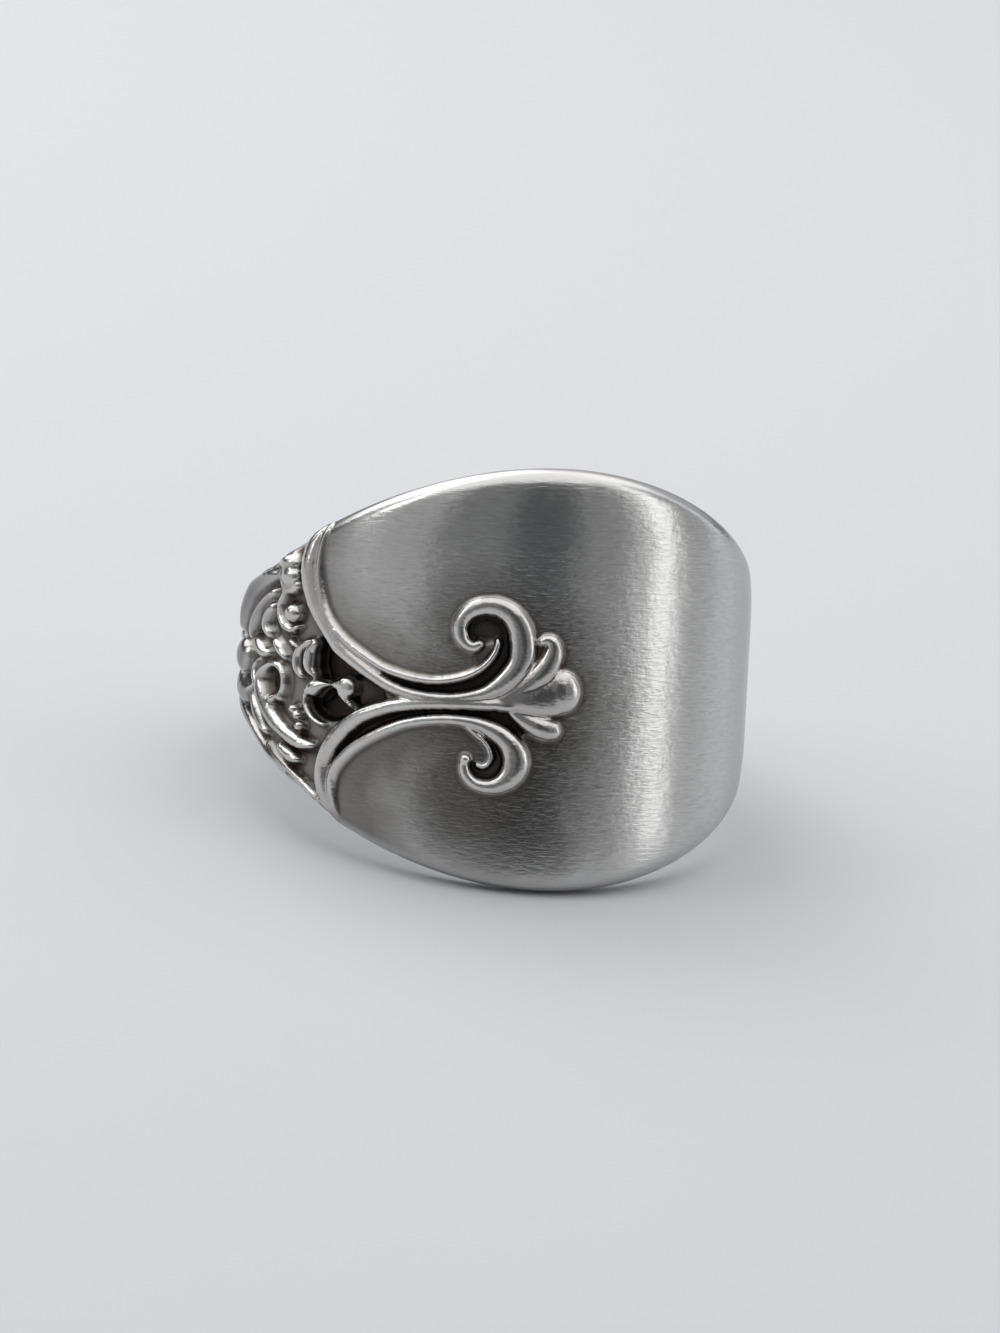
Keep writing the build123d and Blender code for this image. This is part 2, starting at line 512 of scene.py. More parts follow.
beads = [
    # angle, up, radius along, radius across, height
    (-19.6, -0.402, 0.28, 0.28, 0.36),
    (1.0, -0.049, 0.88, 0.97, 0.48),
    (-69.6, 0.810, 0.74, 0.44, 0.46),
    (-68.4, 0.690, 0.62, 0.52, 0.48),
    (-66.7, 0.390, 0.50, 0.44, 0.44),
    (-94.4, 0.0, 1.15, 0.84, 0.54),
    (-73.6, -0.335, 0.32, 0.24, 0.34),
    (-70.6, -0.300, 0.28, 0.22, 0.34),
    (-64.6, -0.345, 0.26, 0.22, 0.36),
    (-63.3, -0.385, 0.24, 0.20, 0.32),
    (-62.5, -0.455, 0.26, 0.22, 0.32),
    (-61.6, -0.572, 0.32, 0.30, 0.40),
]

# Sunk ground, as outlines on the flat blank: the neck, the cavities of the bow and of the eye, a notch in
# the neck's edge, and the dark grooves, which take their sides from the rows of the strands beside them
neck_ground = [
    # angle, up
    (-60.6, 1.20),
    (-61.7, 0.70),
    (-56.1, 0.305),
    (-50.0, 0.10),
    (-40.5, -0.08),
    (-38.5, -0.18),
    (-44.6, -0.27),
    (-52.9, -0.523),
    (-54.6, -0.75),
    (-51.0, -1.20),
    (-114.5, -1.20),
    (-116.0, -0.40),
    (-116.0, 0.40),
    (-114.5, 1.20),
]
upper_cavity = [
    # angle, up
    (-59.6, 0.19),
    (-54.5, 0.18),
    (-49.5, 0.06),
    (-45.0, -0.04),
    (-47.0, -0.06),
    (-51.4, -0.09),
    (-57.2, -0.11),
    (-59.2, -0.06),
]
lower_cavity = [
    # angle, up
    (-59.8, -0.19),
    (-56.9, -0.16),
    (-51.2, -0.13),
    (-47.0, -0.17),
    (-46.0, -0.25),
    (-49.6, -0.31),
    (-53.5, -0.345),
    (-57.6, -0.34),
    (-60.2, -0.28),
]
eye_hole = [
    # angle, up
    (-77.0, -0.12),
    (-74.4, -0.08),
    (-72.2, -0.12),
    (-72.0, -0.22),
    (-74.3, -0.27),
    (-76.8, -0.23),
]
edge_notch = [
    # angle, up
    (-72.2, 1.20),
    (-73.0, 0.90),
    (-74.6, 0.86),
    (-77.0, 0.90),
    (-78.5, 1.20),
]
bow_end = [
    # angle, up
    (-48.0, 0.00),
    (-40.5, -0.10),
    (-38.5, -0.15),
    (-41.0, -0.19),
    (-48.0, -0.30),
]
upper_groove = [row[:2] for row in upper_scroll[9:] + upper_line[:8:-1]]
lower_groove = [row[:2] for row in lower_stem[2:17]] + [(-8.2, -0.18), (-7.2, -0.24), (-7.8, -0.29)]
lower_groove += [row[:2] for row in lower_scroll[17:1:-1]]
lower_curl = [row[:2] for row in lower_scroll[12:] + lower_line[::-1]]
groove_mouth = [
    # angle, up
    (-17.8, 0.164),
    (-19.0, 0.125),
    (-18.4, 0.060),
    (-15.9, 0.072),
    (-13.9, 0.190),
]
sunk_places = [
    # outline, depth
    (neck_ground, neck_sink),
    (edge_notch, groove_sink),
    (groove_mouth, mouth_sink),
    (upper_groove, groove_sink),
    (lower_groove, groove_sink),
    (lower_curl, curl_sink),
    (bow_end, groove_sink),
    (upper_cavity, cavity_sink),
    (lower_cavity, cavity_sink),
    (eye_hole, groove_sink),
]

# The blank's grid: fine where the ornament is, coarse on the plain stretches
ornament_end = -116.0
panel_start = 9.0
fine_step = 0.35
coarse_step = 2.4
corner_step = 15
face_rows = 168
rim_steps = 6
bore_edge_steps = 4
bore_rows = 8
crowded_low, crowded_high = -0.65, 0.48
crowded_share = 0.84
even_from, even_to = 25.0, 50.0
rim_turns = [rim_start + (pi / 2 - rim_start) * k / rim_steps for k in range(1, rim_steps + 1)]
bore_edge_turns = [radians(90 + 90 * k / bore_edge_steps) for k in range(bore_edge_steps + 1)]

# Fineness of the strands and beads, and how the relief is read from them and smoothed, in steps
points_between_rows = 10
strand_facets = 24
bead_facets, bead_rings = 32, 16
ray_length = 5.0
ground_smoothing = 2
softening = 1
neck_softening = 6
neck_blend = 1.2
hollow_reach = 12
pool_reach = 70

# Finish: the masks, by the value where each starts and where it is full. Heights and distances are in
# millimetres.
mask_limits = {
    # mask: starts at, full at
    "raised": (0.04, 0.15),
    "rim": (0.97, 0.75),
    "sunk": (-0.04, -0.12),
    "deep": (-0.18, -0.28),
    "foot": (0.015, 0.10),
    "pool": (0.03, 0.18),
    "near": (4.2, 1.0),
    "worn": (0.3, 0.65),
    "rumpled": (8.0, 4.0),
    "shade": (0.3, 0.7),
    "pits": (0.46, 0.34),
    # painted shade along the panel's right edge
    "right_edge_shade": (3.6, 1.2),
    "neck": (neck_start * mm_per_degree, -74.0 * mm_per_degree),
    # painted shade where the neck turns away
    "far_neck_shade": (-75.0 * mm_per_degree, -87.0 * mm_per_degree),
    # painted highlight on the tops of the neck's broad forms
    "crowned": (-0.04, -0.26),
    # lighter crests: partly rubbed wear, partly painted highlight
    "rubbed_and_sheen": (0.01, -0.06),
}
colours = {
    # name: red, green, blue
    "brushed_low": (0.50, 0.495, 0.485),
    "brushed_high": (0.64, 0.635, 0.62),
    "pit": (0.20, 0.19, 0.18),
    # painted shade along the panel's right edge
    "right_edge_shade": (0.26, 0.25, 0.235),
    "stain": (0.15, 0.138, 0.125),
    "ground": (0.27, 0.26, 0.245),
    "pool": (0.075, 0.055, 0.043),
    "scroll_flank": (0.50, 0.475, 0.455),
    # darker neck flanks: partly oxide, partly painted shade
    "neck_flank_oxide_and_shade": (0.24, 0.225, 0.21),
    # painted shade where the neck turns away
    "far_neck_painted_shade": (0.085, 0.078, 0.07),
    "crest_low": (0.60, 0.58, 0.56),
    "crest_high": (0.68, 0.67, 0.655),
    "rim": (0.58, 0.57, 0.56),
    "foot": (0.06, 0.042, 0.032),
    "deep": (0.032, 0.024, 0.019),
    "bore_low": (0.58, 0.575, 0.57),
    "bore_high": (0.70, 0.695, 0.69),
    "floor": (0.55, 0.56, 0.58),
    "surroundings": (0.06, 0.065, 0.07),
}

# Where tarnish lies and a darkening towards the bottom, the rumpled place, painted shade on the right edge,
# brush grain
# how much darker towards the bottom the panel grows near the ornament
lower_darkening_slant = 0.22
tarnish_drift = 1.6
rumpled_middle = (-2.0, -1.5, 0.0)
# middle of the painted shade on the panel's right edge, in millimetres along the blank
right_edge_shade_middle = 13.4
hair_stretch = (0.3, 2.4, 1.0)
hair_share = 0.25
wave_stretch = (0.8, 0.35, 1.0)
dent_height = 0.8

# Studio lights. Azimuth 0 is in front of the panel and grows to its right; wide and tall are in degrees.
light_distance = 0.3
floor_size = 2.0
neutral, cool = (1.0, 1.0, 1.0), (0.88, 0.94, 1.0)
softboxes = [
    # name, azimuth, elevation, wide, tall, brightness, colour
    ("top_box", -20, 95, 80, 86, 1.25, neutral),
    ("left_panel", -80, 24, 66, 56, 0.37, neutral),
    ("left_fill", -28, 24, 34, 56, 0.13, neutral),
    ("left_lamp", -90, 34, 14, 24, 3.2, neutral),
    ("right_panel", 36, 24, 28, 56, 0.20, neutral),
    ("right_wing", 76, 22, 52, 56, 0.36, neutral),
    ("right_glow", 62, 22, 26, 56, 0.25, neutral),
    ("right_strip", 66, 20, 13, 56, 1.15, neutral),
    ("far_right_strip", 107, 18, 14, 50, 0.9, cool),
    ("far_right_panel", 145, 38, 56, 64, 0.45, neutral),
    ("back_left_box", -152, 40, 50, 44, 2.2, neutral),
]


def half_width(angle):
    """Half the width of the ring at an angle in degrees from the middle of the panel."""
    turn = np.minimum(np.abs(angle), taper_angle) / taper_angle
    share = ((1 + np.cos(pi * turn)) / 2) ** taper_fullness
    return (back_width + (front_width - back_width) * share) / 2


def flat(angle, up):
    """A place on the flat blank, in millimetres, from an angle and a share of the half width."""
    return angle * mm_per_degree, up * float(half_width(angle))


def inside_outline(rows, along, across):
    """Which of these places on the flat blank lie inside an outline."""
    corners = [flat(angle, up) for angle, up in rows]
    inside = np.zeros(len(along), bool)
    for (x0, y0), (x1, y1) in zip(corners, corners[1:] + corners[:1]):
        crosses = (y0 > across) != (y1 > across)
        x_there = x0 + (across - y0) * (x1 - x0) / (y1 - y0 if y1 != y0 else 1)
        inside ^= crosses & (along < x_there)
    return inside


def ground_depths(skins, outside):
    """How far the ground between the strands lies below the blank's face, at each of its points."""
    along, across = skins[:, 0], skins[:, 1]
    depths = np.zeros(len(skins))
    for outline, depth in sunk_places:
        depths[inside_outline(outline, along, across)] = -depth
    fade = np.clip((along - ornament_end * mm_per_degree) / neck_fade, 0, 1)
    return depths * outside * fade


def blank_stations():
    """Angles of the blank's columns, from one end of the ring to the other."""
    corner = degrees(end_rounding / outer_radius)
    inner_corner = degrees((end_rounding - rim_inset) / outer_radius)
    corner_start = last_angle - inner_corner
    rounded = [corner_start + inner_corner * sin(radians(turn)) for turn in range(0, 91, corner_step)]
    back_steps = round((last_angle - corner - panel_start) / coarse_step)
    ornament_steps = round((panel_start - ornament_end) / fine_step)
    far_steps = round((last_angle - corner + ornament_end) / coarse_step)
    back = np.linspace(panel_start, corner_start, back_steps + 1)
    ornament = np.linspace(ornament_end, panel_start, ornament_steps + 1)
    far = np.linspace(-corner_start, ornament_end, far_steps + 1)
    far_rounded = [-angle for angle in reversed(rounded[1:])]
    return np.concatenate([far_rounded, far[:-1], ornament, back[1:], rounded[1:]])


def row_shares(angle):
    """Shares of the face's half width where its rows run: crowded over the scrolls, even on the neck."""
    places = np.linspace(0, 1, face_rows + 1)
    even = np.linspace(-1, 1, face_rows + 1)
    side = (1 - crowded_share) / 2
    crowded = np.interp(places, [0, side, 1 - side, 1], [-1, crowded_low, crowded_high, 1])
    blend = np.clip((abs(angle) - even_from) / (even_to - even_from), 0, 1)
    blend = blend * blend * (3 - 2 * blend)
    return crowded + (even - crowded) * blend


def blank_section(angle):
    """One column of the blank, all round its wall. Each point has its place, its skin's direction, its
    place across the skin, and 1 outside or 0 in the bore."""
    x = angle * mm_per_degree
    past = max(0.0, abs(x) - corner_centre) / (end_rounding - rim_inset)
    lean_x = min(past, 1.0) * (1 if x > 0 else -1)
    lean_y = (1 - lean_x * lean_x) ** 0.5

    def inset(radius):
        """Where the face ends and an edge of this radius begins: along the ring, and across it."""
        across = float(half_width(angle)) - end_rounding + (end_rounding - radius) * lean_y
        return x + (rim_inset - radius) * lean_x, across

    def face_point(share):
        """A point of the outer face, which slopes down softly towards the rim."""
        across = share * half
        side_share = max(0.0, 1 - (half - abs(across)) / shoulder)
        end_share = max(0.0, 1 - (end_place - abs(x)) / shoulder)
        drop = shoulder_drop * (1 - (1 - side_share ** 2) * (1 - end_share ** 2))
        tilt = 2 * shoulder_drop * side_share / shoulder * (1 if share > 0 else -1)
        return x, across, -drop, 0.0, tilt, 1.0, across, 1.0

    def edge(side, turns, radius, height, out):
        """The points of a rounded edge whose centre lies at this height."""
        along, across = inset(radius)
        rows = []
        for turn in turns:
            nx, ny, nz = lean_x * sin(turn), side * lean_y * sin(turn), cos(turn)
            rows.append((
                along + radius * nx, side * across + radius * ny, height + radius * nz,
                nx, ny, nz, side * (across + radius * turn), out,
            ))
        return rows

    half = inset(rim_inset)[1]
    bore_x, bore_half = inset(bore_rounding)
    section = [face_point(share) for share in row_shares(angle)]
    section += edge(1, rim_turns, rim_rounding, rim_centre, 1.0)
    section += edge(1, bore_edge_turns, bore_rounding, bore_rounding - wall, 0.0)
    section += [
        (bore_x, bore_half * (1 - 2 * k / bore_rows), -wall, 0.0, 0.0, -1.0, 0.0, 0.0)
        for k in range(1, bore_rows)
    ]
    section += edge(-1, reversed(bore_edge_turns), bore_rounding, bore_rounding - wall, 0.0)
    section += edge(-1, reversed(rim_turns), rim_rounding, rim_centre, 1.0)
    return section


def end_faces(start, count, far_end):
    """Bands across one end of the blank, from the outer face over the rounded end to the bore side."""
    up_side = list(range(face_rows, face_rows + rim_steps + bore_edge_steps + 2))
    down_side = [(count - (k - face_rows)) % count for k in up_side]
    faces = []
    for k in range(len(up_side) - 1):
        a, b = start + up_side[k], start + up_side[k + 1]
        c, d = start + down_side[k + 1], start + down_side[k]
        if k == 0:
            face = [start + row for row in range(face_rows, -1, -1)] + [c, b]
        elif k == len(up_side) - 2:
            face = [a, d] + [start + row for row in range(down_side[k + 1], up_side[k + 1] - 1, -1)]
        else:
            face = [a, d, c, b]
        faces.append(tuple(face) if far_end else tuple(reversed(face)))
    return faces


def set_attribute(mesh, name, values, kind="FLOAT"):
    """Gives each point of a mesh a named number or vector."""
    field = "vector" if kind == "FLOAT_VECTOR" else "value"
    numbers = np.array(values, np.float32).ravel()
    mesh.attributes.new(name, kind, "POINT").data.foreach_set(field, numbers)


def spoon_blank():
    """The flat blank: x along the ring, y across it, z out of it, with its skin's place and direction."""
    places, skins, normals, outside = [], [], [], []
    for angle in blank_stations():
        section = blank_section(angle)
        for px, py, pz, nx, ny, nz, v, out in section:
            places.append((px, py, pz))
            normals.append((nx, ny, nz))
            skins.append((angle * mm_per_degree, v, 0.0))
            outside.append(out)
    count = len(section)
    columns = len(places) // count
    faces = []
    for column in range(columns - 1):
        a, b = column * count, (column + 1) * count
        for row in range(count):
            after = (row + 1) % count
            faces.append((a + row, b + row, b + after, a + after))
    faces += end_faces(0, count, False)
    faces += end_faces((columns - 1) * count, count, True)
    mesh = bpy.data.meshes.new("spoon_blank")
    mesh.from_pydata(places, [], faces)
    set_attribute(mesh, "skin", skins, "FLOAT_VECTOR")
    set_attribute(mesh, "skin_normal", normals, "FLOAT_VECTOR")
    set_attribute(mesh, "outside", outside)
    set_attribute(mesh, "ground", ground_depths(np.array(skins), np.array(outside)))
    return mesh


def strand_lines():
    """The strands' centre lines on the flat blank, with their half widths, crest heights and flanks."""
    points, edges, half_widths, crests, flanks = [], [], [], [], []
    for rows, rise, first, flank in strands:
        for i, (angle, up, width) in enumerate(rows):
            if i:
                edges.append((len(points) - 1, len(points)))
            points.append((*flat(angle, up), 0.0))
            half_widths.append(width / 2)
            flanks.append(flank)
            share = min(1, first + (1 - first) * i / rows_to_full_height)
            crests.append(rise * (width / 2) ** 0.5 * share)
    mesh = bpy.data.meshes.new("strand_lines")
    mesh.from_pydata(points, edges, [])
    set_attribute(mesh, "half_width", half_widths)
    set_attribute(mesh, "crest", crests)
    set_attribute(mesh, "flank", flanks)
    return mesh


def bead_places():
    """The beads' middles on the flat blank, each with its three radii."""
    points = [(*flat(angle, up), 0.0) for angle, up, along, across, height in beads]
    mesh = bpy.data.meshes.new("bead_places")
    mesh.from_pydata(points, [], [])
    set_attribute(mesh, "radii", [row[2:] for row in beads], "FLOAT_VECTOR")
    return mesh


def add_object(mesh):
    """An object that holds this mesh, at the origin."""
    made = bpy.data.objects.new(mesh.name, mesh)
    bpy.context.scene.collection.objects.link(made)
    return made


def add_node(tree, kind, inputs=None, **settings):
    """A node with these settings; each of its inputs is a plain value or another node's output."""
    made = tree.nodes.new(kind)
    for name, value in settings.items():
        setattr(made, name, value)
    for name, value in (inputs or {}).items():
        if isinstance(value, bpy.types.NodeSocket):
            tree.links.new(value, made.inputs[name])
        else:
            made.inputs[name].default_value = value
    return made


def result(tree, kind, inputs=None, **settings):
    """The first output of a new node."""
    return add_node(tree, kind, inputs, **settings).outputs[0]


def maths(tree, operation, *values):
    """The output of a Math node."""
    return result(tree, "ShaderNodeMath", dict(enumerate(values)), operation=operation)


def vector_maths(tree, operation, inputs):
    """The vector output of a Vector Math node."""
    return add_node(tree, "ShaderNodeVectorMath", inputs, operation=operation).outputs["Vector"]


def parts_of(tree, vector):
    """The X, Y and Z of a vector."""
    return add_node(tree, "ShaderNodeSeparateXYZ", {0: vector}).outputs


def stretch(tree, value, low, high):
    """0 at low, 1 at high, and between them in proportion."""
    return result(tree, "ShaderNodeMapRange", {"Value": value, "From Min": low, "From Max": high})


def named(tree, name, kind="FLOAT"):
    """A named attribute of the mesh, as a geometry field."""
    made = add_node(tree, "GeometryNodeInputNamedAttribute", {"Name": name}, data_type=kind)
    return made.outputs["Attribute"]


def joined(tree, *pieces):
    """Several geometries as one."""
    made = tree.nodes.new("GeometryNodeJoinGeometry")
    for piece in pieces:
        tree.links.new(piece, made.inputs[0])
    return made.outputs[0]


def blurred(tree, value, times, **more):
    """A field smoothed over the mesh this many times."""
    return result(tree, "GeometryNodeBlurAttribute", {"Value": value, "Iterations": times, **more})


def stored(tree, geometry, name, value, kind="FLOAT"):
    """The geometry with a field kept on its points."""
    inputs = {"Geometry": geometry, "Name": name, "Value": value}
    return result(tree, "GeometryNodeStoreNamedAttribute", inputs, data_type=kind, domain="POINT")


def bent_spoon_tree():
    """Geometry nodes that lay the cast ornament on the flat blank and bend it round the finger."""
    tree = bpy.data.node_groups.new("bent_spoon", "GeometryNodeTree")
    for name, kind in (
        ("Blank", "NodeSocketGeometry"),
        ("Strands", "NodeSocketObject"),
        ("Beads", "NodeSocketObject"),
        ("Outer Radius", "NodeSocketFloat"),
        ("Foot Groove", "NodeSocketFloat"),
        ("Softening", "NodeSocketInt"),
        ("Neck Softening", "NodeSocketInt"),
        ("Neck Start", "NodeSocketFloat"),
        ("Hollow Reach", "NodeSocketInt"),
        ("Pool Reach", "NodeSocketInt"),
        ("Lean", "NodeSocketFloat"),
        ("Bore Middle", "NodeSocketVector"),
        ("Unit", "NodeSocketFloat"),
        ("Outside Finish", "NodeSocketMaterial"),
        ("Bore Finish", "NodeSocketMaterial"),
    ):
        tree.interface.new_socket(name, in_out="INPUT", socket_type=kind)
    tree.interface.new_socket("Ring", in_out="OUTPUT", socket_type="NodeSocketGeometry")
    given = tree.nodes.new("NodeGroupInput").outputs

    # Strands: half round along smooth lines, with round ends
    lines = add_node(tree, "GeometryNodeObjectInfo", {"Object": given["Strands"]}).outputs["Geometry"]
    curves = result(tree, "GeometryNodeMeshToCurve", {"Mesh": lines})
    curves = result(tree, "GeometryNodeCurveSplineType", {"Curve": curves}, spline_type="CATMULL_ROM")
    curves = result(tree, "GeometryNodeSetSplineResolution", {
        "Geometry": curves, "Resolution": points_between_rows,
    })
    profile = result(tree, "GeometryNodeCurvePrimitiveCircle", {"Resolution": strand_facets, "Radius": 1.0})
    tubes = result(tree, "GeometryNodeCurveToMesh", {
        "Curve": curves, "Profile Curve": profile, "Scale": named(tree, "half_width"), "Fill Caps": True,
    })
    ball = add_node(tree, "GeometryNodeMeshUVSphere", {
        "Segments": bead_facets, "Rings": bead_rings, "Radius": 1.0,
    }).outputs["Mesh"]
    ends = result(tree, "GeometryNodeCurveEndpointSelection", {"Start Size": 1, "End Size": 1})
    caps = result(tree, "GeometryNodeInstanceOnPoints", {
        "Points": curves, "Selection": ends, "Instance": ball, "Scale": named(tree, "half_width"),
    })
    caps = result(tree, "GeometryNodeRealizeInstances", {0: caps})
    round_forms = joined(tree, tubes, caps)
    height = parts_of(tree, result(tree, "GeometryNodeInputPosition"))["Z"]
    share = maths(tree, "MAXIMUM", maths(tree, "DIVIDE", height, named(tree, "half_width")), 0.0)
    flank = maths(tree, "POWER", share, named(tree, "flank"))
    crowned = maths(tree, "MULTIPLY", flank, named(tree, "crest"))
    lift = result(tree, "ShaderNodeCombineXYZ", {"Z": maths(tree, "SUBTRACT", crowned, height)})
    raised_strands = result(tree, "GeometryNodeSetPosition", {"Geometry": round_forms, "Offset": lift})

    # Beads: flattened balls
    middles = add_node(tree, "GeometryNodeObjectInfo", {"Object": given["Beads"]}).outputs["Geometry"]
    balls = result(tree, "GeometryNodeInstanceOnPoints", {
        "Points": middles, "Instance": ball, "Scale": named(tree, "radii", "FLOAT_VECTOR"),
    })
    pattern = result(tree, "GeometryNodeRealizeInstances", {0: joined(tree, raised_strands, balls)})

    # Height of the ornament over each point of the blank's skin, and the sunk ground between
    skin = named(tree, "skin", "FLOAT_VECTOR")
    above = vector_maths(tree, "ADD", {0: skin, 1: (0.0, 0.0, ray_length)})
    ray = add_node(tree, "GeometryNodeRaycast", {
        "Target Geometry": pattern, "Source Position": above,
        "Ray Direction": (0.0, 0.0, -1.0), "Ray Length": ray_length,
    }).outputs
    hit = parts_of(tree, ray["Hit Position"])["Z"]
    outside = named(tree, "outside")
    raised = maths(tree, "MULTIPLY", hit, maths(tree, "MULTIPLY", ray["Is Hit"], outside))
    ground = blurred(tree, named(tree, "ground"), ground_smoothing)
    bare = result(tree, "GeometryNodeSwitch", {
        "Switch": ray["Is Hit"], "False": ground, "True": raised,
    }, input_type="FLOAT")
    soft = blurred(tree, maths(tree, "MULTIPLY", bare, outside), given["Softening"])
    neck_full = maths(tree, "SUBTRACT", given["Neck Start"], neck_blend)
    in_neck = stretch(tree, parts_of(tree, skin)["X"], given["Neck Start"], neck_full)
    soft = blurred(tree, soft, given["Neck Softening"], Weight=in_neck)

    # What the materials read: the relief, how far it lies in a hollow or a wide pool, the distance from
    # the nearest strand, and the place on the flat blank
    ring = stored(tree, given["Blank"], "relief", soft)
    relief = named(tree, "relief")
    for name, reach in (("hollow", "Hollow Reach"), ("pool", "Pool Reach")):
        below = maths(tree, "SUBTRACT", blurred(tree, relief, given[reach]), relief)
        ring = stored(tree, ring, name, below)
    away = add_node(tree, "GeometryNodeProximity", {
        "Target": lines, "Source Position": skin,
    }, target_element="EDGES").outputs["Distance"]
    ring = stored(tree, ring, "away", away)
    ring = stored(tree, ring, "flat_place", skin, "FLOAT_VECTOR")

    # The ornament stands out along the skin, with a fine groove at its foot
    hollow = maths(tree, "MAXIMUM", named(tree, "hollow"), 0.0)
    rise = maths(tree, "SUBTRACT", relief, maths(tree, "MULTIPLY", hollow, given["Foot Groove"]))
    skin_normal = named(tree, "skin_normal", "FLOAT_VECTOR")
    rise_along = vector_maths(tree, "SCALE", {0: skin_normal, "Scale": rise})
    ring = result(tree, "GeometryNodeSetPosition", {"Geometry": ring, "Offset": rise_along})

    # Bend round the finger, lean the ring back on its side, and set it in its place
    xyz = parts_of(tree, result(tree, "GeometryNodeInputPosition"))
    turn = maths(tree, "DIVIDE", xyz["X"], given["Outer Radius"])
    radius = maths(tree, "ADD", xyz["Z"], given["Outer Radius"])
    bent = result(tree, "ShaderNodeCombineXYZ", {
        "X": maths(tree, "MULTIPLY", maths(tree, "SINE", turn), radius),
        "Y": maths(tree, "MULTIPLY", maths(tree, "COSINE", turn), maths(tree, "MULTIPLY", radius, -1.0)),
        "Z": xyz["Y"],
    })
    leant = result(tree, "ShaderNodeVectorRotate", {
        "Vector": bent, "Angle": maths(tree, "MULTIPLY", given["Lean"], -1.0),
    }, rotation_type="X_AXIS")
    in_metres = vector_maths(tree, "SCALE", {0: leant, "Scale": given["Unit"]})
    set_down = vector_maths(tree, "ADD", {0: in_metres, 1: given["Bore Middle"]})
    ring = result(tree, "GeometryNodeSetPosition", {"Geometry": ring, "Position": set_down})
    ring = result(tree, "GeometryNodeRealizeInstances", {0: ring})
    ring = result(tree, "GeometryNodeSetMaterial", {"Geometry": ring, "Material": given["Outside Finish"]})
    ring = result(tree, "GeometryNodeSetMaterial", {
        "Geometry": ring, "Selection": maths(tree, "LESS_THAN", outside, 0.5),
        "Material": given["Bore Finish"],
    })
    end = tree.nodes.new("NodeGroupOutput")
    tree.links.new(ring, end.inputs["Ring"])
    return tree


def shader_group(name, inputs, outputs):
    """A new shader node group with these sockets, as (group, what it is given, its output node)."""
    group = bpy.data.node_groups.new(name, "ShaderNodeTree")
    for socket, value in inputs.items():
        kind = "NodeSocketVector" if value is None else "NodeSocketFloat"
        made = group.interface.new_socket(socket, in_out="INPUT", socket_type=kind)
        if value is not None:
            made.default_value = value
    for socket in outputs:
        group.interface.new_socket(socket, in_out="OUTPUT", socket_type="NodeSocketFloat")
    return group, group.nodes.new("NodeGroupInput").outputs, group.nodes.new("NodeGroupOutput")


def noise(tree, place, scale, detail, **more):
    """A noise texture's value at a place."""
    inputs = {"Vector": place, "Scale": scale, "Detail": detail, **more}
    return add_node(tree, "ShaderNodeTexNoise", inputs).outputs["Fac"]


def mask(tree, name, value):
    """A mask from 0 to 1, by the limits of this name."""
    return stretch(tree, value, *mask_limits[name])


def brush_lines_group():
    """Short marks brushed along the ring's girth: their height, their shade, and darker pits."""
    group, given, out = shader_group("brush_lines", {
        "Place": None, "Lines per mm": 8.0, "Line Length": 0.55, "Chatter": 0.5, "Waviness": 1.2,
    }, ("Height", "Shade", "Pits"))
    xyz = parts_of(group, given["Place"])
    lined = result(group, "ShaderNodeCombineXYZ", {
        "X": maths(group, "DIVIDE", xyz["X"], given["Line Length"]),
        "Y": maths(group, "MULTIPLY", xyz["Y"], given["Lines per mm"]),
    })
    marks = noise(group, lined, 1.0, 2.5, Roughness=0.55, Distortion=0.5)
    hairs = noise(group, vector_maths(group, "MULTIPLY", {0: lined, 1: hair_stretch}), 1.0, 3.0)
    chatter = noise(group, given["Place"], 4.5, 4.0, Roughness=0.6)
    waves = noise(group, vector_maths(group, "MULTIPLY", {0: given["Place"], 1: wave_stretch}), 1.0, 2.0)
    height = marks
    for ripple, share in ((hairs, hair_share), (chatter, given["Chatter"]), (waves, given["Waviness"])):
        height = maths(group, "ADD", height, maths(group, "MULTIPLY", ripple, share))
    shade = maths(group, "ADD", maths(group, "MULTIPLY", marks, 0.5), maths(group, "MULTIPLY", hairs, 0.5))
    pits = mask(group, "pits", maths(group, "MULTIPLY", marks, maths(group, "ADD", chatter, 0.5)))
    for socket, value in (("Height", height), ("Shade", shade), ("Pits", pits)):
        group.links.new(value, out.inputs[socket])
    return group


def attribute(tree, name):
    """A named attribute of the piece, in a material."""
    return add_node(tree, "ShaderNodeAttribute", attribute_name=name).outputs


def metal(name, roughness):
    """A new metallic material, as (material, tree, its shader)."""
    made = bpy.data.materials.new(name)
    made.use_nodes = True
    shader = made.node_tree.nodes["Principled BSDF"]
    shader.inputs["Metallic"].default_value = 1.0
    shader.inputs["Roughness"].default_value = roughness
    return made, made.node_tree, shader


def mix_colour(tree, share, first, second):
    """A colour between two others, each a colour of the table above or a node's output."""
    made = add_node(tree, "ShaderNodeMix", {0: share}, data_type="RGBA")
    for socket, value in ((6, first), (7, second)):
        if isinstance(value, str):
            made.inputs[socket].default_value = (*colours[value], 1.0)
        else:
            tree.links.new(value, made.inputs[socket])
    return made.outputs[2]


def mix_value(tree, share, first, second):
    """A number between two others."""
    return result(tree, "ShaderNodeMix", {0: share, 2: first, 3: second}, data_type="FLOAT")


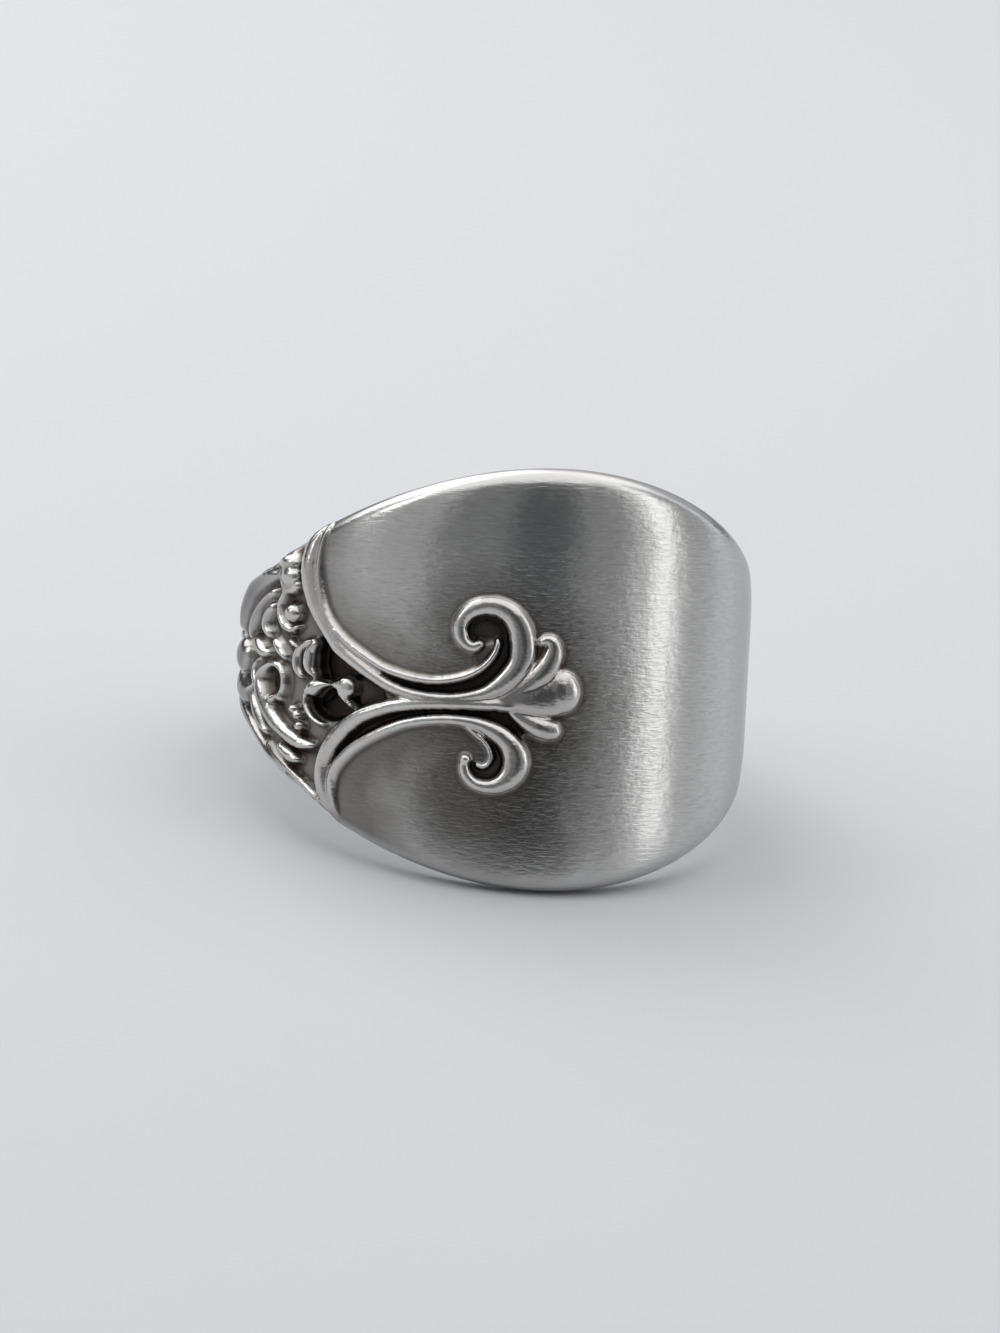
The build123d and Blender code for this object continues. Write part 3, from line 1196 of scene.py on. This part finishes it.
def outside_finish(brush_lines):
    """Brushed panel, polished ornament and rims, dark tarnish in the hollows, painted shade and highlights.
    """
    made, tree, shader = metal("brushed_and_tarnished_silver", 0.3)
    shader.inputs["Anisotropic"].default_value = 0.6
    shader.inputs["Anisotropic Rotation"].default_value = 0.25
    place = attribute(tree, "flat_place")["Vector"]
    relief, hollow, pool, away = (
        attribute(tree, name)["Fac"] for name in ("relief", "hollow", "pool", "away")
    )
    lines = add_node(tree, "ShaderNodeGroup", {"Place": place}, node_tree=brush_lines)
    cloud = noise(tree, place, 0.7, 4.0, Roughness=0.6)
    xyz = parts_of(tree, place)

    # Where the metal is raised, at the rim, or low
    raised = mask(tree, "raised", relief)
    rim = mask(tree, "rim", parts_of(tree, attribute(tree, "skin_normal")["Vector"])["Z"])
    bare = maths(tree, "SUBTRACT", 1.0, maths(tree, "MAXIMUM", raised, rim))
    bare_rim = maths(tree, "MULTIPLY", rim, maths(tree, "SUBTRACT", 1.0, raised))
    sunk = mask(tree, "sunk", relief)
    deep = mask(tree, "deep", relief)
    foot = maths(tree, "MULTIPLY", mask(tree, "foot", hollow), bare)
    pooled = maths(tree, "MULTIPLY", mask(tree, "pool", pool), bare)

    # Tarnish round the ornament, a darkening towards the bottom, wear, the rumpled place, and painted shade
    # on the right edge
    drift = maths(tree, "ADD", away, maths(tree, "MULTIPLY", cloud, tarnish_drift))
    # darker towards the bottom of the panel
    slant = maths(tree, "MULTIPLY", xyz["Y"], lower_darkening_slant)
    near = mask(tree, "near", maths(tree, "ADD", drift, slant))
    worn = mask(tree, "worn", cloud)
    spread = add_node(
        tree, "ShaderNodeVectorMath", {0: place, 1: rumpled_middle}, operation="DISTANCE"
    ).outputs["Value"]
    rumpled = mix_value(tree, mask(tree, "rumpled", spread), maths(tree, "MULTIPLY", worn, 0.25), 1.0)
    pits = maths(tree, "MULTIPLY", lines.outputs["Pits"], rumpled)
    # Painted shade: the panel is darkened round its right edge
    off_right_edge_shade = maths(tree, "ABSOLUTE", maths(tree, "SUBTRACT", xyz["X"], right_edge_shade_middle))

    # Cast forms: darker flanks, on the neck oxide and painted shade, darkest where it turns away; crests
    # rubbed and painted lighter
    in_neck = mask(tree, "neck", xyz["X"])
    # Painted highlight: the tops of the neck's broad forms are lightened
    crowned = maths(tree, "MULTIPLY", mask(tree, "crowned", pool), in_neck)
    # crests lightened, partly as rubbed wear and partly as painted highlight
    rubbed_and_sheen = maths(tree, "MAXIMUM", mask(tree, "rubbed_and_sheen", hollow), crowned)
    # On the neck the flanks darken: partly oxide, partly painted shade
    flank = mix_colour(tree, in_neck, "scroll_flank", "neck_flank_oxide_and_shade")
    # Painted shade: the neck's flanks are darkest where it turns away
    flank = mix_colour(tree, mask(tree, "far_neck_shade", xyz["X"]), flank, "far_neck_painted_shade")
    crest = mix_colour(tree, worn, "crest_low", "crest_high")
    cast = mix_colour(tree, rubbed_and_sheen, flank, crest)

    # Colour, from the plain panel up
    colour = mix_colour(tree, mask(tree, "shade", lines.outputs["Shade"]), "brushed_low", "brushed_high")
    for share, strength, over in (
        (pits, 0.4, "pit"),
        # painted shade on the panel's right edge
        (mask(tree, "right_edge_shade", off_right_edge_shade), 0.62, "right_edge_shade"),
        (near, 0.85, "stain"),
        (sunk, 1.0, "ground"),
        (pooled, 0.8, "pool"),
        (raised, 1.0, cast),
        (bare_rim, 1.0, "rim"),
        (foot, 0.9, "foot"),
        (deep, 1.0, "deep"),
    ):
        colour = mix_colour(tree, maths(tree, "MULTIPLY", share, strength), colour, over)
    tree.links.new(colour, shader.inputs["Base Color"])

    # Roughness of the panel, then of the rim, the raised forms and the hollows
    rough = mix_value(tree, raised, mix_value(tree, rim, 0.25, 0.30), 0.21)
    rough = mix_value(tree, maths(tree, "MAXIMUM", sunk, foot), rough, 0.45)
    tree.links.new(rough, shader.inputs["Roughness"])

    # Height of the brush lines, faint on the polished forms, and small dents in these
    shown = mix_value(tree, raised, mix_value(tree, rumpled, 0.25, 1.0), 0.2)
    shown = mix_value(tree, rim, shown, 0.08)
    dents = maths(tree, "MULTIPLY", raised, dent_height)
    dents = maths(tree, "MULTIPLY", noise(tree, place, 2.4, 2.0), dents)
    height = maths(tree, "ADD", maths(tree, "MULTIPLY", lines.outputs["Height"], shown), dents)
    bump = result(tree, "ShaderNodeBump", {"Height": height, "Strength": 0.6, "Distance": 0.00005})
    tree.links.new(bump, shader.inputs["Normal"])
    return made


def bore_finish(brush_lines):
    """Smooth silver inside the ring, with faint lines from the mandrel."""
    made, tree, shader = metal("smooth_bore_silver", 0.24)
    place = attribute(tree, "flat_place")["Vector"]
    lines = add_node(tree, "ShaderNodeGroup", {
        "Place": place, "Lines per mm": 5.0, "Line Length": 6.0,
    }, node_tree=brush_lines)
    colour = mix_colour(tree, lines.outputs["Shade"], "bore_low", "bore_high")
    tree.links.new(colour, shader.inputs["Base Color"])
    bump = result(tree, "ShaderNodeBump", {
        "Height": lines.outputs["Height"], "Strength": 0.1, "Distance": 0.00003,
    })
    tree.links.new(bump, shader.inputs["Normal"])
    return made


def spoon_ring():
    """The ring: the cast blank bent round by its node tree and made a plain mesh."""
    blank = add_object(spoon_blank())
    lines = add_object(strand_lines())
    middles = add_object(bead_places())
    brush_lines = brush_lines_group()
    tree = bent_spoon_tree()
    modifier = blank.modifiers.new("bent_spoon", "NODES")
    modifier.node_group = tree
    given = {
        "Strands": lines,
        "Beads": middles,
        "Outer Radius": outer_radius,
        "Foot Groove": foot_groove,
        "Softening": softening,
        "Neck Softening": neck_softening,
        "Neck Start": neck_start * mm_per_degree,
        "Hollow Reach": hollow_reach,
        "Pool Reach": pool_reach,
        "Lean": lean,
        "Bore Middle": bore_middle,
        "Unit": mm,
        "Outside Finish": outside_finish(brush_lines),
        "Bore Finish": bore_finish(brush_lines),
    }
    for item in tree.interface.items_tree:
        if item.in_out == "INPUT" and item.name in given:
            modifier[item.identifier] = given[item.name]
    bpy.context.view_layer.update()
    depsgraph = bpy.context.evaluated_depsgraph_get()
    mesh = bpy.data.meshes.new_from_object(
        blank.evaluated_get(depsgraph), preserve_all_data_layers=True, depsgraph=depsgraph
    )
    mesh.name = "spoon_ring"
    mesh.shade_smooth()
    for used in (blank, lines, middles):
        bpy.data.objects.remove(used)
    return add_object(mesh)


def softbox(name, azimuth, elevation, wide, tall, brightness, colour):
    """A rectangular light that faces the ring, at an azimuth and elevation as in the table above."""
    data = bpy.data.lights.new(name, "AREA")
    data.shape = "RECTANGLE"
    data.size = 2 * light_distance * tan(radians(wide / 2))
    data.size_y = 2 * light_distance * tan(radians(tall / 2))
    data.energy = brightness * pi * data.size * data.size_y
    data.color = colour
    light = bpy.data.objects.new(name, data)
    bpy.context.scene.collection.objects.link(light)
    towards = Vector((
        sin(radians(azimuth)) * cos(radians(elevation)),
        -cos(radians(azimuth)) * cos(radians(elevation)),
        sin(radians(elevation)),
    ))
    light.location = bore_middle + towards * light_distance
    light.rotation_euler = towards.to_track_quat("Z", "Y").to_euler()


def studio():
    """Pale floor, dim grey surroundings and softboxes."""
    bpy.ops.mesh.primitive_plane_add(size=floor_size)
    floor = bpy.context.object
    floor.name = "studio_floor"
    pale = bpy.data.materials.new("pale_floor")
    pale.use_nodes = True
    shader = pale.node_tree.nodes["Principled BSDF"]
    shader.inputs["Base Color"].default_value = (*colours["floor"], 1.0)
    shader.inputs["Roughness"].default_value = 0.7
    floor.data.materials.append(pale)
    world = bpy.data.worlds.new("studio_grey")
    world.use_nodes = True
    background = world.node_tree.nodes["Background"]
    background.inputs["Color"].default_value = (*colours["surroundings"], 1.0)
    bpy.context.scene.world = world
    bpy.context.scene.view_settings.view_transform = "Standard"
    for row in softboxes:
        softbox(*row)


def photograph_camera():
    """A long lens, three degrees above the ring's own middle plane, standing to the left of the panel."""
    distance = 300.0
    pixels_per_mm = 22.77
    frame_width = 1000
    sensor = 36.0
    stands_left = radians(13.6)
    above = radians(3.0)
    roll = radians(3.0)
    middle_off = Vector((-2.53, 1.13)) / pixels_per_mm
    back = Vector((-sin(stands_left) * cos(above), -cos(stands_left) * cos(above), sin(above)))
    right = Vector((cos(stands_left), -sin(stands_left), 0))
    up = back.cross(right)
    camera_right = right * cos(roll) + up * sin(roll)
    camera_up = up * cos(roll) - right * sin(roll)
    place = back * distance - camera_right * middle_off.x - camera_up * middle_off.y
    to_world = Matrix.Translation(bore_middle) @ Matrix.Rotation(-lean, 4, "X") @ Matrix.Scale(mm, 4)
    turned = Matrix.Rotation(-lean, 3, "X") @ Matrix((camera_right, camera_up, back)).transposed()
    data = bpy.data.cameras.new("camera")
    data.sensor_fit = "HORIZONTAL"
    data.sensor_width = sensor
    data.lens = pixels_per_mm * distance * sensor / frame_width
    data.clip_start, data.clip_end = 0.01, 10.0
    camera = bpy.data.objects.new("camera", data)
    camera.location = to_world @ place
    camera.rotation_euler = turned.to_euler()
    bpy.context.scene.collection.objects.link(camera)
    bpy.context.scene.camera = camera


ring = spoon_ring()
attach(ring, "root")
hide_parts("ring_band")
studio()
photograph_camera()
